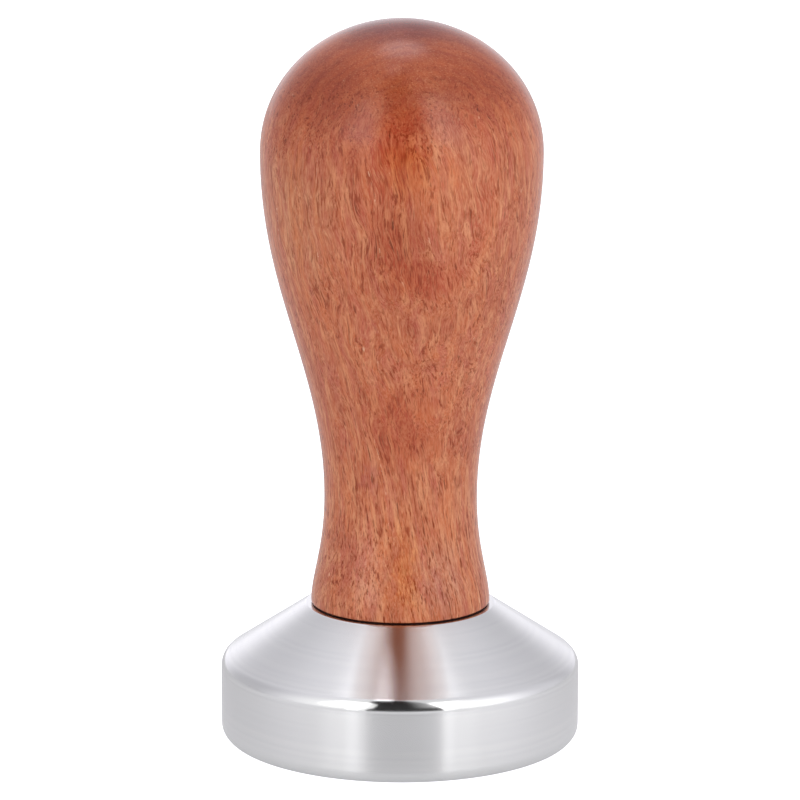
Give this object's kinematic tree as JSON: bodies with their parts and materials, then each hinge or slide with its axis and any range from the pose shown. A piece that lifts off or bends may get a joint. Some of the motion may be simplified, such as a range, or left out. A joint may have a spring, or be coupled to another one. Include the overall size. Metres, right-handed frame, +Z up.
{
  "type": "espresso tamper",
  "caption": "Turned wooden handle, slim at the waist and full at the top, screwed onto a round stainless steel base whose flat face presses ground coffee.",
  "frame": {"origin": "centre of the base's flat underside, the tamping face, which the tamper stands on", "axes": "+Z up the common axis of the turned pieces, from the tamping face to the handle's crown; the object is round, so +X and +Y only complete the frame"},
  "size_m": [0.051, 0.051, 0.1032],
  "materials": {
    "stainless_steel": "fine-turned and polished, faint lathe lines",
    "handle_wood": "reddish brown open-pored hardwood, grain lengthwise, satin lacquer",
    "washer_fibre": "matt black fibre",
    "insert_brass": "as machined",
    "screw_steel": "plain zinc plate"
  },
  "bodies": {
    "base": {"base": "stainless_steel"},
    "washer": {"joint_washer": "washer_fibre"},
    "handle": {"handle": "handle_wood", "threaded_insert": "insert_brass", "set_screw": "screw_steel"}
  },
  "joints": [
    {"name": "handle_lift", "type": "slide", "parent": "base", "child": "washer", "axis": [0, 0, 1], "range_m": [0, 0.01]},
    {"name": "handle_unscrew", "type": "hinge", "parent": "washer", "child": "handle", "pos_m": [0, 0, 0.0198], "axis": [0, 0, 1], "range_deg": [0, 2880]}
  ],
  "couplings": [
    {"joint": "handle_lift", "follows": "handle_unscrew", "m_per_rad": 0.00019894}
  ]
}
